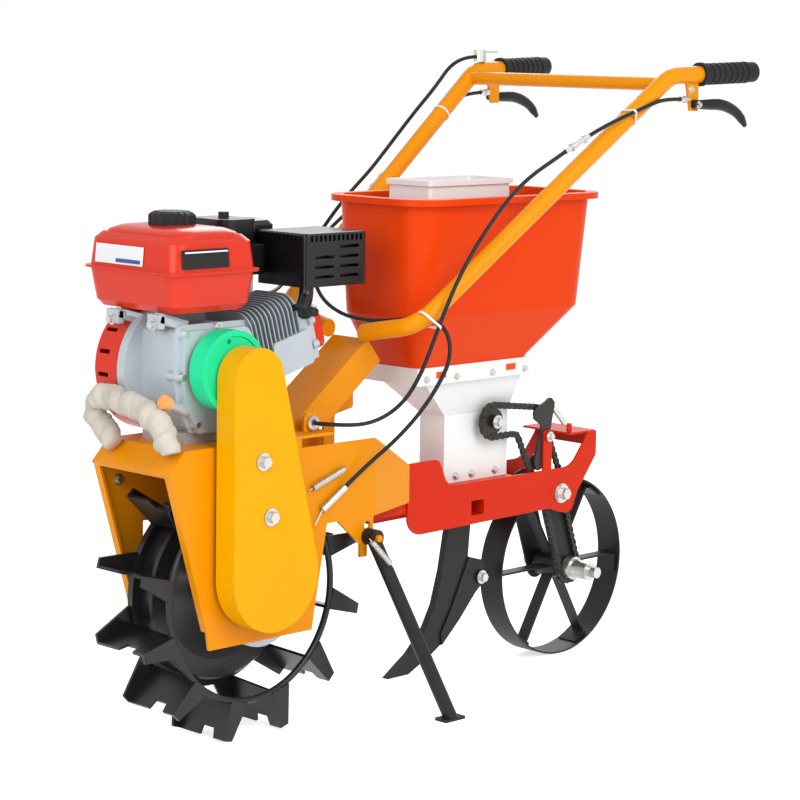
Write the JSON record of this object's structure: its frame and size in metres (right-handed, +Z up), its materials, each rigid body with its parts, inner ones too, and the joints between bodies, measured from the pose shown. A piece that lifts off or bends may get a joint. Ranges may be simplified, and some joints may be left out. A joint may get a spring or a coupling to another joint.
{
  "type": "walk-behind engine seed planter",
  "caption": "Walk-behind petrol seed planter: engine over a lugged drive wheel, seed hopper with chain-driven metering, opener, spoked ground wheel, side stand and handlebar.",
  "frame": {"origin": "on the ground under the middle of the bounding box", "axes": "+X forward to the drive wheel, +Y to the machine's left, +Z up"},
  "size_m": [1.2638, 0.5376, 1.107],
  "materials": {
    "orange_paint": "gloss",
    "case_paint": "gloss",
    "red_paint": "gloss",
    "tank_paint": "gloss",
    "hopper_plastic": "semi-gloss",
    "insert_plastic": "satin",
    "white_paint": "gloss",
    "black_paint": "semi-gloss",
    "black_plastic": "satin",
    "grip_rubber": "matt",
    "cast_aluminium": "as cast",
    "zinc_steel": "zinc plated",
    "chain_steel": "oiled",
    "chrome_trim": "polished",
    "green_paint": "gloss",
    "wrap_cloth": "matt"
  },
  "bodies": {
    "frame": {"air_cleaner": "black_plastic", "arm_chain": "chain_steel", "beam": "orange_paint", "beam_post": "orange_paint", "belt_pulley": "green_paint", "brake_cable": "grip_rubber", "cable_adjuster": "zinc_steel", "cable_bush": "zinc_steel", "carburettor": "cast_aluminium", "chain_case": "case_paint", "chassis_cross_plates": "red_paint", "chassis_plate_left": "red_paint", "chassis_plate_right": "red_paint", "clutch_cable": "grip_rubber", "clutch_spring": "zinc_steel", "crankcase": "cast_aluminium", "crankcase_cover": "cast_aluminium", "cylinder": "black_paint", "cylinder_head": "cast_aluminium", "engine_bed": "orange_paint", "exhaust_elbow": "black_paint", "front_wrap": "wrap_cloth", "fuel_cap": "black_plastic", "fuel_tank": "tank_paint", "gearbox": "cast_aluminium", "grip_left": "grip_rubber", "grip_right": "grip_rubber", "ground_wheel_axle": "zinc_steel", "handlebar": "orange_paint", "hopper": "hopper_plastic", "hopper_insert": "insert_plastic", "hopper_tray": "white_paint", "lever_left": "black_paint", "lever_right": "black_paint", "metering_box": "white_paint", "metering_chain": "chain_steel", "metering_sprocket": "chain_steel", "muffler": "black_paint", "oil_plug": "case_paint", "opener_boot": "black_paint", "opener_shank": "black_paint", "pivot_shaft": "zinc_steel", "recoil_housing": "tank_paint", "side_plate_left": "orange_paint", "side_plate_right": "orange_paint", "stand_bracket": "orange_paint", "tank_brackets": "cast_aluminium", "tensioner_arm": "black_paint", "tensioner_spring": "zinc_steel", "throttle_cable": "grip_rubber", "throttle_control": "chrome_trim", "valve_cover": "tank_paint", "wheel_arm_left": "black_paint", "wheel_arm_right": "black_paint"},
    "drive_wheel": {"drive_axle": "zinc_steel", "drive_wheel_drum": "black_paint", "drive_wheel_lug_ring": "black_paint"},
    "ground_wheel": {"ground_wheel_rim": "black_paint"},
    "stand": {"stand_leg": "black_paint", "stand_spring": "zinc_steel"}
  },
  "joints": [
    {"name": "drive_wheel_spin", "type": "hinge", "parent": "frame", "child": "drive_wheel", "pos_m": [0.39811, 0, 0.2338], "axis": [0, 1, 0], "continuous": true},
    {"name": "ground_wheel_spin", "type": "hinge", "parent": "frame", "child": "ground_wheel", "pos_m": [-0.40189, 0, 0.1654], "axis": [0, 1, 0], "continuous": true},
    {"name": "stand_fold", "type": "hinge", "parent": "frame", "child": "stand", "pos_m": [0.17011, 0.108, 0.306], "axis": [0, 1, 0], "range_deg": [-70, 0]}
  ]
}
